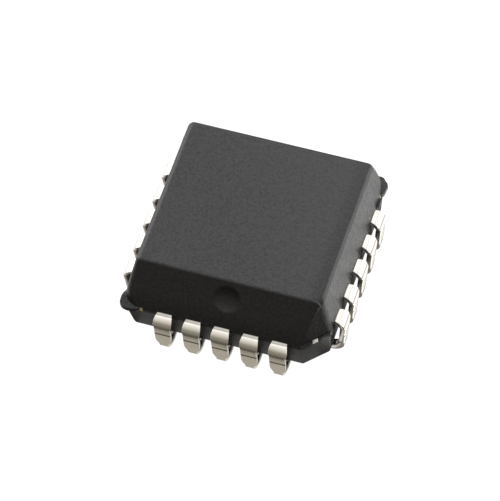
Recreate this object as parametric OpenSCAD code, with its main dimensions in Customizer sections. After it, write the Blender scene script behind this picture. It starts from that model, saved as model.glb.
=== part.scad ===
// Plastic leaded chip carrier, 20 J-leads, five on each side.
// Millimetres. +Z is up, Z = 0 is the seating plane under the lead bends,
// and the origin is the middle of the seating plane. The bevelled index
// side with the round dimple faces -Y, and the cut corner is at +X -Y.

/* [Body] */
// Width and length of the moulded body at the parting band
body_w = 8.92; // [8.80:0.01:9.04]
// Height of the top face above the seating plane
body_top = 4.37; // [4.25:0.01:4.57]
// Height of the body's underside above the seating plane
body_bottom = 0.80; // [0.70:0.01:0.95]
// Inward lean of the right upper wall, at the top face
right_draft = 0.34; // [0.28:0.01:0.42]
// Inward lean of the far upper wall, at the top face
far_draft = 0.42; // [0.34:0.01:0.50]
// Inward lean of the left upper wall, at the top face
left_draft = 0.35; // [0.28:0.01:0.42]
// Lean of the index wall from upright, in degrees
index_bevel = 36; // [30:0.5:38]
// Inward lean of the lower walls, at the underside
lower_draft = 0.20; // [0.12:0.01:0.26]
// Set-back of the lower half under the parting band
lower_setback = 0.04; // [0.02:0.01:0.08]
// Rounding of the upright corners at the parting band
corner_r = 0.45; // [0.35:0.01:0.55]
// Rounding of the plain edges of the top face
edge_r = 0.32; // [0.24:0.01:0.36]
// Rounding of the edge between the top face and the index bevel
index_edge_r = 0.15; // [0.10:0.01:0.20]
// Leg of the cut corner
cut_corner = 1.07; // [1.0:0.01:1.2]
// Diameter of the index dimple
dimple_d = 1.20; // [0.8:0.05:1.3]
// Depth of the index dimple
dimple_depth = 0.14; // [0.08:0.01:0.2]
// Stand-out of the corner ears from the parting band
ear_out = 0.16; // [0.10:0.01:0.2]

/* [Leads] */
// Overall width over the leads on opposite sides
overall_w = 9.95; // [9.85:0.01:10.03]
// Distance between neighbouring leads
pitch = 1.27; // [1.27:0.01:1.27]
// Thickness of the lead-frame strip
lead_t = 0.254; // [0.22:0.002:0.28]
// Height of the leads' upper face where they leave the body
lead_top = 2.60; // [2.50:0.01:2.70]
// Width of a lead where it leaves the body
lead_exit_w = 0.68; // [0.66:0.01:0.70]
// Width of a lead over its shoulder
lead_w = 0.81; // [0.76:0.01:0.82]
// Width of a lead below its shoulder
lead_leg_w = 0.71; // [0.68:0.01:0.74]
// Width of a lead under its bend
lead_foot_w = 0.41; // [0.36:0.01:0.50]
// Outer radius of the shoulder bend
shoulder_r = 0.50; // [0.46:0.01:0.50]
// Inward lean of a lead's straight part, in degrees
lead_lean = 5.5; // [4:0.5:6]
// Outer radius of the bend under the body
foot_r = 0.66; // [0.62:0.01:0.70]
// How far the bend turns past its lowest point, in degrees
foot_turn = 80; // [76:1:84]
// Length of the straight tip past the bend
tip_l = 0.32; // [0.28:0.01:0.36]
// Height of the forming groove above the seating plane
groove_z = 1.59; // [1.50:0.01:1.70]

/* [Inside] */
// Side of the square die paddle
paddle_w = 3.30; // [3.0:0.05:3.4]
// Side of the square silicon die
die_w = 2.30; // [2.2:0.05:2.4]
// Thickness of the die
die_t = 0.36; // [0.3:0.01:0.42]
// Thickness of the die attach layer
attach_t = 0.03; // [0.02:0.005:0.05]
// Diameter of a bond wire
wire_d = 0.033; // [0.025:0.001:0.05]

/* [Hidden] */
$fn = 64;
hb = body_w / 2;
ho = overall_w / 2;
band_z = lead_top - lead_t;
up_h = body_top - lead_top;
index_in = up_h * tan(index_bevel);
corner_c = hb - corner_r;
die_z = lead_top + attach_t;
die_top = die_z + die_t;
// Outward distances from the middle, along the lead
tip_r = 2.05;
stitch_r = 2.26;
pad_r = die_w / 2 - 0.10;
tip_pitch = 0.66;
pad_pitch = 0.40;
// Tie bars: place of their cut ends along the sides, and their widths
tie_at = 3.585;
tie_w = 0.24;
tie_end_w = 0.13;
tie_cut_w = 0.24;
// Side and step along the side of each lead, in the order of its number:
// lead 1 is in the middle of the index side, and the count runs
// anticlockwise seen from above
SIDE = [0, 0, 0, 1, 1, 1, 1, 1, 2, 2, 2, 2, 2, 3, 3, 3, 3, 3, 0, 0];
STEP = [0, 1, 2, -2, -1, 0, 1, 2, -2, -1, 0, 1, 2, -2, -1, 0, 1, 2, -2, -1];

// ---------------------------------------------------------------- body

// Distance of a wall from the middle, at a depth d below the top face: at is
// where the wall would meet the top face, lean its angle, e the rounding
function wall_at(d, at, lean, e) =
  d >= e * (1 - sin(lean)) ? at + d * tan(lean)
    : at - e * tan((90 - lean) / 2) + sqrt(e * e - (e - d) * (e - d));

// Upper half of the moulding: three steep walls, the long index bevel, and
// the cut corner, which runs out at the top face
module upper_half() {
  cut = body_w - cut_corner;
  small = 0.12;
  hull() {
    for (p = [[-1, -1], [-1, 1], [1, 1]])
      translate([p[0] * corner_c, p[1] * corner_c, lead_top])
        cylinder(r = corner_r, h = 0.02, $fn = 32);
    translate([cut - 0.17 - (hb - small), -(hb - small), lead_top]) cylinder(r = small, h = 0.02, $fn = 32);
    translate([hb - small, -(cut - 0.17 - (hb - small)), lead_top]) cylinder(r = small, h = 0.02, $fn = 32);
    // the rounded edges of the top face, level by level at its corners
    for (d = [0, 0.005, 0.02, 0.05, 0.09, 0.14, 0.20, 0.27])
      for (c = [[-1, -1, 0.12], [-1, 1, 0.12], [1, 1, 0.12], [1, -1, 0.40]]) {
        x = c[0] > 0 ? wall_at(d, hb - right_draft, atan(right_draft / up_h), edge_r)
                     : wall_at(d, hb - left_draft, atan(left_draft / up_h), edge_r);
        y = c[1] > 0 ? wall_at(d, hb - far_draft, atan(far_draft / up_h), edge_r)
                     : wall_at(d, hb - index_in, index_bevel, index_edge_r);
        translate([c[0] * (x - c[2]), c[1] * (y - c[2]), body_top - d - 0.004])
          cylinder(r = c[2], h = 0.004, $fn = 24);
      }
  }
}

// Outline of the parting band
module band_outline(grow = 0) {
  difference() {
    union() {
      square([2 * (hb + grow), 2 * corner_c], center = true);
      square([2 * corner_c, 2 * (hb + grow)], center = true);
      for (p = [[-1, -1], [-1, 1], [1, 1]])
        translate([p[0] * corner_c, p[1] * corner_c]) circle(r = corner_r + grow);
      translate([0, -hb]) square([hb, hb]);
    }
    translate([hb, -hb]) rotate(45) square([2, 2 * (cut_corner / sqrt(2))], center = true);
  }
}

// Moulded ears that stand out of the band around three corners
module ears() {
  e = ear_out;
  for (a = [0, 90, 180]) rotate(a)
    polygon([[3.4, 3.4], [hb, 3.66], [hb + 0.5 * e, 3.73], [hb + 0.85 * e, 3.87], [hb + e, 4.05], [hb + e, 4.20],
             [hb + 0.78 * e, 4.38], [hb + 0.25 * e, hb + 0.25 * e], [4.38, hb + 0.78 * e],
             [4.20, hb + e], [4.05, hb + e], [3.87, hb + 0.85 * e], [3.73, hb + 0.5 * e], [3.66, hb]]);
}

// Flash tabs between a tie bar's cut end and the next lead
module tabs() {
  translate([hb - 0.3, 2.97]) square([0.40, 0.52]);
  translate([-3.49, hb - 0.3]) square([0.52, 0.40]);
}

// Ridge of flash on the cut corner, on both sides of its tie bar
module cut_ridge() {
  d = (body_w - cut_corner) / sqrt(2);
  rotate(-45) difference() {
    translate([d - 0.3, -0.69]) square([0.38, 1.38]);
    translate([d + 0.02, -tie_cut_w / 2]) square([1, tie_cut_w]);
  }
}

module band() {
  translate([0, 0, band_z]) linear_extrude(lead_t) union() {
    band_outline();
    ears();
    tabs();
    cut_ridge();
  }
}

// Lower half of the moulding, between the band and the underside
module lower_half() {
  t = hb - lower_setback;
  b = t - lower_draft;
  rt = 0.36;
  rb = 0.30;
  cut_t = 2 * t - cut_corner + 0.06;
  cut_b = cut_t - 1.3 * lower_draft;
  hull() {
    for (p = [[-1, -1], [-1, 1], [1, 1]]) {
      translate([p[0] * (t - rt), p[1] * (t - rt), band_z - 0.02]) cylinder(r = rt, h = 0.02, $fn = 32);
      translate([p[0] * (b - rb), p[1] * (b - rb), body_bottom + 0.06]) cylinder(r = rb, h = 0.02, $fn = 32);
      translate([p[0] * (b - rb), p[1] * (b - rb), body_bottom]) cylinder(r = rb - 0.06, h = 0.02, $fn = 32);
    }
    for (m = [0, 1]) rotate(m * -45) mirror([0, m]) rotate(m * 45) {
      translate([cut_t - 0.17 - (t - 0.12), -(t - 0.12), band_z - 0.02]) cylinder(r = 0.12, h = 0.02, $fn = 24);
      translate([cut_b - 0.17 - (b - 0.12), -(b - 0.12), body_bottom + 0.06]) cylinder(r = 0.12, h = 0.02, $fn = 24);
      translate([cut_b - 0.17 - (b - 0.12), -(b - 0.12), body_bottom]) cylinder(r = 0.06, h = 0.02, $fn = 24);
    }
  }
}

// Hollow of the index dimple, square to the bevel
module dimple() {
  r = (pow(dimple_d / 2, 2) + pow(dimple_depth, 2)) / (2 * dimple_depth);
  up = 0.61 * up_h;
  translate([0.05, -hb + up * tan(index_bevel), lead_top + up])
    rotate([90 - index_bevel, 0, 0])
      translate([0, 0, r - dimple_depth]) sphere(r = r);
}

// Pockets in the underside that take the tips of the leads
module pockets() {
  for (s = [0 : 3], k = [-2 : 2]) rotate(90 * s)
    translate([k * pitch - 0.36, -3.92, body_bottom - 0.5]) cube([0.72, 0.56, 0.5 + 0.42]);
}

module body() {
  color([0.13, 0.13, 0.14]) difference() {
    union() {
      upper_half();
      band();
      lower_half();
    }
    dimple();
    pockets();
    for (i = [0 : 19]) lead_solid(i);
    paddle_solid();
    attach_solid();
    die_solid();
    for (i = [0 : 19]) wire_solid(i);
  }
}

// --------------------------------------------------------------- leads

// Points on an arc about c, from angle a to angle b
function arc(c, r, a, b, n) = [for (i = [0 : n]) let (t = a + (b - a) * i / n) c + r * [cos(t), sin(t)]];

// Side profile of the formed lead, outside the body: over the shoulder,
// straight down with a lean, and round under the body to a short tip.
// x is the distance outward, y the height.
module lead_profile() {
  sc = [ho - shoulder_r, lead_top - shoulder_r];
  // direction in which the shoulder bend ends, and the straight part's run
  end_d = [cos(lead_lean), -sin(lead_lean)];
  down = [-sin(lead_lean), -cos(lead_lean)];
  so = sc + shoulder_r * end_d;
  run = (so[1] + foot_r * sin(lead_lean) - foot_r) / cos(lead_lean);
  fc = so + run * down - foot_r * end_d;
  tip_a = -90 - foot_turn;
  tip = tip_l * [-cos(foot_turn), sin(foot_turn)];
  g = so + (so[1] - groove_z) / cos(lead_lean) * down;
  polygon(concat(
    [[sc[0] - 0.2, band_z], [sc[0] - 0.2, lead_top]],
    arc(sc, shoulder_r, 90, -lead_lean, 14),
    [g - 0.04 * down, g - 0.022 * end_d, g + 0.04 * down],
    arc(fc, foot_r, -lead_lean, tip_a, 24),
    [fc + foot_r * [cos(tip_a), sin(tip_a)] + tip, fc + (foot_r - lead_t) * [cos(tip_a), sin(tip_a)] + tip],
    arc(fc, foot_r - lead_t, tip_a, -lead_lean, 24),
    arc(sc, shoulder_r - lead_t, -lead_lean, 90, 14)));
}

// Front outline of the formed lead: wide over the shoulder, a straight leg,
// then drawn in to the narrow foot
module lead_front() {
  w = lead_w / 2;
  l = lead_leg_w / 2;
  f = lead_foot_w / 2;
  polygon([[-w, lead_top + 0.1], [w, lead_top + 0.1], [w, 2.26], [l, 2.10], [l, 1.05], [f + 0.065, 0.75], [f, 0.60], [f, -0.1],
           [-f, -0.1], [-f, 0.60], [-f - 0.065, 0.75], [-l, 1.05], [-l, 2.10], [-w, 2.26]]);
}

// Plan outline of the formed lead, which widens from the body outward
module lead_plan() {
  e = lead_exit_w / 2;
  polygon([[-e, 2.5], [e, 2.5], [e, hb], [e + 0.12, hb + 0.66], [-e - 0.12, hb + 0.66], [-e, hb]]);
}

// One lead on the -Y side, step k from the middle
module lead_at(k) {
  u = k * pitch;
  v = k * tip_pitch;
  w = lead_exit_w / 2;
  r0 = ho - shoulder_r;
  // finger inside the body, fanned in towards the die
  translate([0, 0, band_z]) linear_extrude(lead_t) mirror([0, 1])
    polygon([[u - w, r0], [u + w, r0], [u + w, 4.14], [u + 0.25, 4.0], [u + 0.25, 3.7],
             [v + 0.20, tip_r], [v - 0.20, tip_r], [u - 0.25, 3.7], [u - 0.25, 4.0], [u - w, 4.14]]);
  // formed part outside
  translate([u, 0, 0]) intersection() {
    translate([lead_w, 0, 0]) rotate([90, 0, -90]) linear_extrude(2 * lead_w) lead_profile();
    rotate([90, 0, 0]) linear_extrude(6) lead_front();
    translate([0, 0, -0.5]) linear_extrude(4) mirror([0, 1]) lead_plan();
  }
}

module lead_solid(i) {
  rotate(90 * SIDE[i]) lead_at(STEP[i]);
}

module lead(i) {
  color([0.78, 0.76, 0.70]) lead_solid(i);
}

// -------------------------------------------------------------- inside

// Die paddle with its four tie bars, one stamped piece
module paddle_solid() {
  translate([0, 0, band_z]) union() {
    linear_extrude(lead_t) square([paddle_w, paddle_w], center = true);
    // bar to the middle of the cut corner
    rotate(-45) translate([1.5, -tie_cut_w / 2, 0])
      cube([(body_w - cut_corner) / sqrt(2) + 0.02 - 1.5, tie_cut_w, lead_t]);
    // bars that bend to a side beside the three other corners
    linear_extrude(lead_t) tie_bar();
    mirror([1, 1, 0]) linear_extrude(lead_t) tie_bar();
    mirror([0, 1, 0]) linear_extrude(lead_t) tie_bar();
  }
}

// Bar from the paddle's -X -Y corner to the -Y side, necked at its cut end
module tie_bar() {
  w = tie_w / 2;
  n = tie_end_w / 2;
  polygon([[-1.5 - w, -1.5 + w], [-1.5 + w, -1.5 - w], [-tie_at + w, -tie_at + 0.10], [-tie_at + w, -4.10], [-tie_at + n, -4.25],
           [-tie_at + n, -hb], [-tie_at - n, -hb], [-tie_at - n, -4.25], [-tie_at - w, -4.10], [-tie_at - w, -tie_at + 0.10 + 1.2 * w]]);
}

module attach_solid() {
  translate([0, 0, lead_top + attach_t / 2]) cube([die_w + 0.10, die_w + 0.10, attach_t], center = true);
}

module die_solid() {
  translate([0, 0, die_z + die_t / 2]) cube([die_w, die_w, die_t], center = true);
}

module die_paddle() { color([0.72, 0.45, 0.33]) paddle_solid(); }
module die_attach() { color([0.75, 0.75, 0.77]) attach_solid(); }
module die() { color([0.35, 0.37, 0.42]) die_solid(); }

// Rings of a bond wire: distance along the span, height, climb in degrees
// and radius, from the ball on the die to the stitch on the lead
function wire_rings(l) = let (r = wire_d / 2) [
  [0, die_top, 90, 2.4 * r],
  [0, die_top + 0.02, 90, 2.4 * r],
  [0, die_top + 0.035, 90, r],
  [0, die_top + 0.11, 90, r],
  [0.05, die_top + 0.17, 48, r],
  [0.16, die_top + 0.19, 0, r],
  [0.45 * l, die_top + 0.15, -18, r],
  [l - 0.18, lead_top + 0.18, -46, r],
  [l - 0.03, lead_top + 0.05, -62, r],
  [l, lead_top, -90, r]];

function ring_points(a, d, g) = let (n = [-d[1], d[0]])
  [for (j = [0 : 7]) let (c = g[3] * cos(45 * j), s = g[3] * sin(45 * j))
    [a[0] + d[0] * (g[0] - s * sin(g[2])) + n[0] * c,
     a[1] + d[1] * (g[0] - s * sin(g[2])) + n[1] * c,
     g[1] + s * cos(g[2])]];

// Eight-sided tube swept from point a to point b
module wire_tube(a, b) {
  l = norm(b - a);
  d = (b - a) / l;
  rings = wire_rings(l);
  m = len(rings);
  polyhedron(
    points = [for (g = rings) each ring_points(a, d, g)],
    faces = concat(
      [[for (j = [0 : 7]) j]],
      [[for (j = [0 : 7]) 8 * m - 1 - j]],
      [for (i = [0 : m - 2], j = [0 : 7]) [8 * i + j, 8 * (i + 1) + j, 8 * (i + 1) + (j + 1) % 8]],
      [for (i = [0 : m - 2], j = [0 : 7]) [8 * i + j, 8 * (i + 1) + (j + 1) % 8, 8 * i + (j + 1) % 8]]));
}

module wire_solid(i) {
  k = STEP[i];
  t = (stitch_r - tip_r) / (3.7 - tip_r);
  rotate(90 * SIDE[i])
    wire_tube([k * pad_pitch, -pad_r], [k * (tip_pitch + t * (pitch - tip_pitch)), -stitch_r]);
}

module bond_wire(i) {
  color([0.90, 0.72, 0.30]) wire_solid(i);
}

// ---------------------------------------------------------------- draw

body();
lead(0);  // lead_01
lead(1);  // lead_02
lead(2);  // lead_03
lead(3);  // lead_04
lead(4);  // lead_05
lead(5);  // lead_06
lead(6);  // lead_07
lead(7);  // lead_08
lead(8);  // lead_09
lead(9);  // lead_10
lead(10);  // lead_11
lead(11);  // lead_12
lead(12);  // lead_13
lead(13);  // lead_14
lead(14);  // lead_15
lead(15);  // lead_16
lead(16);  // lead_17
lead(17);  // lead_18
lead(18);  // lead_19
lead(19);  // lead_20
die_paddle();
die_attach();
die();
bond_wire(0);  // bond_wire_01
bond_wire(1);  // bond_wire_02
bond_wire(2);  // bond_wire_03
bond_wire(3);  // bond_wire_04
bond_wire(4);  // bond_wire_05
bond_wire(5);  // bond_wire_06
bond_wire(6);  // bond_wire_07
bond_wire(7);  // bond_wire_08
bond_wire(8);  // bond_wire_09
bond_wire(9);  // bond_wire_10
bond_wire(10);  // bond_wire_11
bond_wire(11);  // bond_wire_12
bond_wire(12);  // bond_wire_13
bond_wire(13);  // bond_wire_14
bond_wire(14);  // bond_wire_15
bond_wire(15);  // bond_wire_16
bond_wire(16);  // bond_wire_17
bond_wire(17);  // bond_wire_18
bond_wire(18);  // bond_wire_19
bond_wire(19);  // bond_wire_20
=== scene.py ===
import math

import bpy
import numpy as np
from mathutils import Matrix, Vector, noise
from mathutils.geometry import delaunay_2d_cdt


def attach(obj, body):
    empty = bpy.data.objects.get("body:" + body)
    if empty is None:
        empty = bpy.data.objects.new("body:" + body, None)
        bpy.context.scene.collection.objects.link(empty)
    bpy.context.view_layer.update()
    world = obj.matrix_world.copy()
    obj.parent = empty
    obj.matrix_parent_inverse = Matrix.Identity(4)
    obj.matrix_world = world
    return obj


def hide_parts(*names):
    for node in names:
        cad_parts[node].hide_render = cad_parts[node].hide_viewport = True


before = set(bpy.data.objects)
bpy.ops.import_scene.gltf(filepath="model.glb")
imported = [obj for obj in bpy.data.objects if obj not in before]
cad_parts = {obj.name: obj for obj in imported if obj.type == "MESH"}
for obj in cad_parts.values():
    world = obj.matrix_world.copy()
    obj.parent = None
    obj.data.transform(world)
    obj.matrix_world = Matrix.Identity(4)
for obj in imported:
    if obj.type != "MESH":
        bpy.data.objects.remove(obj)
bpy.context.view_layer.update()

# All shapes below are worked out in millimetres and turned into metres when
# a mesh is made.  +Z is up, Z = 0 is the seating plane, and the index bevel
# faces -Y.
MM = 0.001
SQ2 = math.sqrt(2.0)

# ------------------------------------------------------------------- sizes
HB = 4.46            # half width of the moulding at the parting band
ZT, ZB = 2.60, 2.346 # upper and lower edge of the parting band
TOP, BOT = 4.37, 0.80
UP = TOP - ZT
RIGHT_IN, FAR_IN, LEFT_IN = 0.40, 0.42, 0.355  # lean of the plain upper walls
BEVEL = math.radians(36.0)
CUT0, CUT_K = 7.85, 0.42
CORNER_R, CORNER_TOP = 0.80, 0.24  # upright corners, sharper towards the top
EDGE = [0.17, 0.40, 0.27, 0.30, 0.33]  # rounding of the top's edges, side by side
HO = 4.975           # half width over the leads
PITCH = 1.27
LEAD_T = 0.254
LEAD_EXIT_W = 0.34   # half width of a lead where it leaves the moulding
FOOT_W = 0.205       # half width of a lead under its bend
SHOULDER_R, FOOT_R = 0.50, 0.66
LEG_LEAN, FOOT_TURN = math.radians(5.5), math.radians(80.0)
TIP_L = 0.32
GROOVE_Z = 1.587
DIMPLE_R, DIMPLE_D, DIMPLE_X, DIMPLE_UP = 0.60, 0.14, 0.05, 0.61


def chance(*key):
    """A repeatable number from -1 to 1 for whole-number keys."""
    h = 0.0
    for n, k in enumerate(key):
        h += (k + 1.37) * (12.9898 + 31.7 * n)
    v = math.sin(h) * 43758.5453
    return 2.0 * (v - math.floor(v)) - 1.0


def wobble(x, y, z, size):
    return noise.noise(Vector((x / size, y / size, z / size)))


def make_object(name, verts, faces, sharp_deg):
    mesh = bpy.data.meshes.new(name)
    mesh.from_pydata([(v[0] * MM, v[1] * MM, v[2] * MM) for v in verts], [], faces)
    mesh.validate()
    mesh.update()
    mesh.polygons.foreach_set("use_smooth", [True] * len(mesh.polygons))
    mesh.set_sharp_from_angle(angle=math.radians(sharp_deg))
    obj = bpy.data.objects.new(name, mesh)
    bpy.context.scene.collection.objects.link(obj)
    return obj


# ----------------------------------------------------------- moulded body
# The moulding is lofted through rings of stations.  A station belongs to one
# of five sides (index side, cut corner, right, far, left) or to the rounding
# between two of them.
NORM = [(0.0, -1.0), (1 / SQ2, -1 / SQ2), (1.0, 0.0), (0.0, 1.0), (-1.0, 0.0)]
ANG = [-90.0, -45.0, 0.0, 90.0, 180.0]
TURN = [45.0, 45.0, 90.0, 90.0, 90.0]
LEAN = [BEVEL, math.atan(CUT_K / SQ2), math.atan(RIGHT_IN / UP), math.atan(FAR_IN / UP), math.atan(LEFT_IN / UP)]


def upper_offsets(h):
    f = h / UP
    d = [HB - math.tan(BEVEL) * h, (CUT0 - CUT_K * h) / SQ2, HB - RIGHT_IN * f, HB - FAR_IN * f, HB - LEFT_IN * f]
    # creases beside the cut corner, crisp at the parting band and soft above
    soft = 1 - math.exp(-h / 0.22)
    ra, rb = 0.12 + 0.10 * soft - 0.05 * h, 0.12 + 0.42 * soft - 0.05 * h
    ru = CORNER_TOP + (CORNER_R - CORNER_TOP) * math.exp(-h / 0.45)
    return d, [ra, rb, ru, ru, ru]


def corner_centre(i, d, r):
    a, b = NORM[i], NORM[(i + 1) % 5]
    p, q = d[i] - r[i], d[(i + 1) % 5] - r[i]
    det = a[0] * b[1] - a[1] * b[0]
    return ((p * b[1] - q * a[1]) / det, (a[0] * q - b[0] * p) / det)


def stations():
    out = []
    # index side, by X; close together across the dimple
    xs = [-3.655, -3.65, -3.52, -3.515, -3.45, -3.30, -3.10, -2.96, -2.90, -2.54, -2.20, -1.90, -1.60, -1.27, -1.10, -0.95, -0.82]
    n = 74
    xs += [-0.74 + 1.48 * k / n for k in range(n + 1)]
    xs += [0.82, 0.95, 1.10, 1.27, 1.60, 1.90, 2.20, 2.54, 2.80, 3.0, 3.2, 3.30]
    for x in xs:
        out.append(("side", 0, x))
    for s in (0.0, 0.2, 0.4, 0.6, 0.8, 1.0):
        out.append(("arc", 0, s))
    # cut corner, by distance from its middle
    for t in (-0.68, -0.60, -0.48, -0.34, -0.22, -0.155, -0.145, 0.0, 0.145, 0.155, 0.22, 0.34, 0.48, 0.60, 0.68):
        out.append(("side", 1, t))
    for s in (0.0, 0.2, 0.4, 0.6, 0.8, 1.0):
        out.append(("arc", 1, s))
    ys = [-3.2, -3.0, -2.8, -2.54, -2.2, -1.9, -1.6, -1.27, -0.95, -0.6, -0.3, 0.0, 0.3, 0.6, 0.95, 1.27, 1.6, 1.9, 2.2,
          2.54, 2.88, 2.94, 2.97, 3.03, 3.12, 3.24, 3.35, 3.43, 3.48, 3.50, 3.515, 3.52, 3.65, 3.655]
    for y in ys:
        out.append(("side", 2, y))
    arc = [0.0, 0.03, 0.06, 0.09, 0.13, 0.18, 0.24, 0.30, 0.35, 0.40, 0.45, 0.50, 0.55, 0.60, 0.65, 0.70, 0.76, 0.82, 0.87, 0.91, 0.94, 0.97, 1.0]
    for s in arc:
        out.append(("arc", 2, s))
    for x in (3.55, 3.2, 2.88, 2.54, 2.2, 1.9, 1.6, 1.27, 0.95, 0.6, 0.3, 0.0, -0.3, -0.6, -0.95, -1.27, -1.6, -1.9, -2.2, -2.54,
              -2.88, -2.94, -2.97, -3.03, -3.12, -3.24, -3.35, -3.43, -3.48, -3.50, -3.515, -3.52, -3.65, -3.655):
        out.append(("side", 3, -x))
    for s in arc:
        out.append(("arc", 3, s))
    for y in (3.55, 3.2, 2.88, 2.54, 2.2, 1.9, 1.6, 1.27, 0.95, 0.6, 0.3, 0.0, -0.3, -0.6, -0.95, -1.27, -1.6, -1.9, -2.2, -2.54,
              -2.88, -3.2, -3.55):
        out.append(("side", 4, -y))
    for s in arc:
        out.append(("arc", 4, s))
    return out


STATIONS = stations()
D0, R0 = upper_offsets(0.0)


def side_ends(i, d, r):
    """Where side i starts and ends, measured along the side."""
    n = NORM[i]
    along = (-n[1], n[0])
    a = corner_centre((i - 1) % 5, d, r)
    b = corner_centre(i, d, r)
    ra, rb = r[(i - 1) % 5], r[i]
    start = (a[0] + ra * n[0], a[1] + ra * n[1])
    end = (b[0] + rb * n[0], b[1] + rb * n[1])
    return start, end, along


BASE_ENDS = [side_ends(i, D0, R0) for i in range(5)]


def base_share(i, v):
    """Share of side i's length at the parting band for a place on it."""
    start, end, along = BASE_ENDS[i]
    a = start[0] * along[0] + start[1] * along[1]
    b = end[0] * along[0] + end[1] * along[1]
    return (v - a) / (b - a)


def plan(st, d, r):
    """Place and outward direction of a station on an outline."""
    kind, i, v = st
    if kind == "arc":
        c = corner_centre(i, d, r)
        a = math.radians(ANG[i] + TURN[i] * v)
        n = (math.cos(a), math.sin(a))
        return (c[0] + r[i] * n[0], c[1] + r[i] * n[1]), n
    start, end, along = side_ends(i, d, r)
    if i == 0 and abs(v) <= 0.83:
        return (v, start[1]), NORM[0]
    if i == 0:
        # either side of the dimple's strip
        lo, hi = (start[0], -0.82) if v < 0 else (0.82, end[0])
        blo, bhi = (BASE_ENDS[0][0][0], -0.82) if v < 0 else (0.82, BASE_ENDS[0][1][0])
        f = (v - blo) / (bhi - blo)
        return (lo + f * (hi - lo), start[1]), NORM[0]
    f = base_share(i, v)
    return (start[0] + f * (end[0] - start[0]), start[1] + f * (end[1] - start[1])), NORM[i]


def lean_of(st):
    kind, i, v = st
    if kind == "side":
        return LEAN[i]
    s = v * v * (3 - 2 * v)
    return LEAN[i] + (LEAN[(i + 1) % 5] - LEAN[i]) * s


def edge_of(st):
    kind, i, v = st
    if kind == "side":
        return EDGE[i]
    s = v * v * (3 - 2 * v)
    return EDGE[i] + (EDGE[(i + 1) % 5] - EDGE[i]) * s


# Outlines of the three corner ears, in distances along their two side
# normals.  Each broke off its runner a little differently.
EARS = {
    2: [(4.475, 3.66), (4.535, 3.71), (4.585, 3.84), (4.60, 4.02), (4.615, 4.20), (4.56, 4.32), (4.45, 4.41), (4.38, 4.50),
        (4.29, 4.56), (4.10, 4.56), (3.90, 4.545), (3.75, 4.52), (3.66, 4.475)],
    3: [(4.475, 3.66), (4.53, 3.73), (4.58, 3.86), (4.60, 4.03), (4.605, 4.22), (4.56, 4.40), (4.44, 4.53), (4.26, 4.60),
        (4.05, 4.61), (3.88, 4.58), (3.74, 4.53), (3.66, 4.475)],
    4: [(4.475, 3.66), (4.485, 3.78), (4.55, 3.89), (4.585, 4.02), (4.59, 4.21), (4.56, 4.40), (4.47, 4.53), (4.30, 4.605),
        (4.08, 4.62), (3.90, 4.615), (3.76, 4.58), (3.66, 4.475)],
}


def ear_point(i, share):
    """A point of an ear's outline, on a smooth curve through its corners."""
    pts = EARS[i]
    run = [0.0]
    for a, b in zip(pts, pts[1:]):
        run.append(run[-1] + math.hypot(b[0] - a[0], b[1] - a[1]))
    s = share * run[-1]
    k = 0
    while k < len(pts) - 2 and s > run[k + 1]:
        k += 1
    t = (s - run[k]) / (run[k + 1] - run[k])
    p0, p1, p2, p3 = pts[max(k - 1, 0)], pts[k], pts[k + 1], pts[min(k + 2, len(pts) - 1)]
    out = []
    for c in (0, 1):
        m1, m2 = 0.5 * (p2[c] - p0[c]), 0.5 * (p3[c] - p1[c])
        h = p1[c] * (1 + 2 * t) * (1 - t) ** 2 + m1 * t * (1 - t) ** 2 + p2[c] * t * t * (3 - 2 * t) - m2 * t * t * (1 - t)
        out.append(h)
    return out


def band_plan(st, grow=0.0):
    """Outline of the parting band, with its ears, tabs, ridge and flash."""
    kind, i, v = st
    (x, y), n = plan(st, D0, R0)
    lip = 0.014 + 0.007 * wobble(x, y, 0.0, 0.35) + 0.004 * wobble(x, y, 3.0, 0.09)
    if kind == "arc" and i >= 2:
        e1, e2 = NORM[i], NORM[(i + 1) % 5]
        a, b = ear_point(i, v)
        px, py = a * e1[0] + b * e2[0], a * e1[1] + b * e2[1]
        k = (0.008 * wobble(px, py, 7.0, 0.16) - 0.006) * min(1.0, 8 * v, 8 * (1 - v)) + grow
        cx = 3.7 * (e1[0] + e2[0])
        cy = 3.7 * (e1[1] + e2[1])
        l = math.hypot(px - cx, py - cy)
        return px + (px - cx) / l * k, py + (py - cy) / l * k
    out = lip
    if kind == "side":
        # a side's tie bar and tab sit towards one end of it
        w = {0: -v, 2: v, 3: v}.get(i)
        if w is not None:
            if i != 0 and 2.95 < w < 3.505:
                out = (0.105 + 0.02 * wobble(x, y, 5.0, 0.12)) * min(1.0, (w - 2.90) / 0.20, 0.35 + (3.52 - w) / 0.12)
            elif 3.517 < w < 3.652:
                out = -0.03
        if i == 1:
            if abs(v) < 0.15:
                out = 0.005
            elif abs(v) < 0.69:
                out = 0.075 + 0.016 * wobble(x, y, 5.0, 0.16)
    return x + n[0] * (out + grow), y + n[1] * (out + grow)


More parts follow.
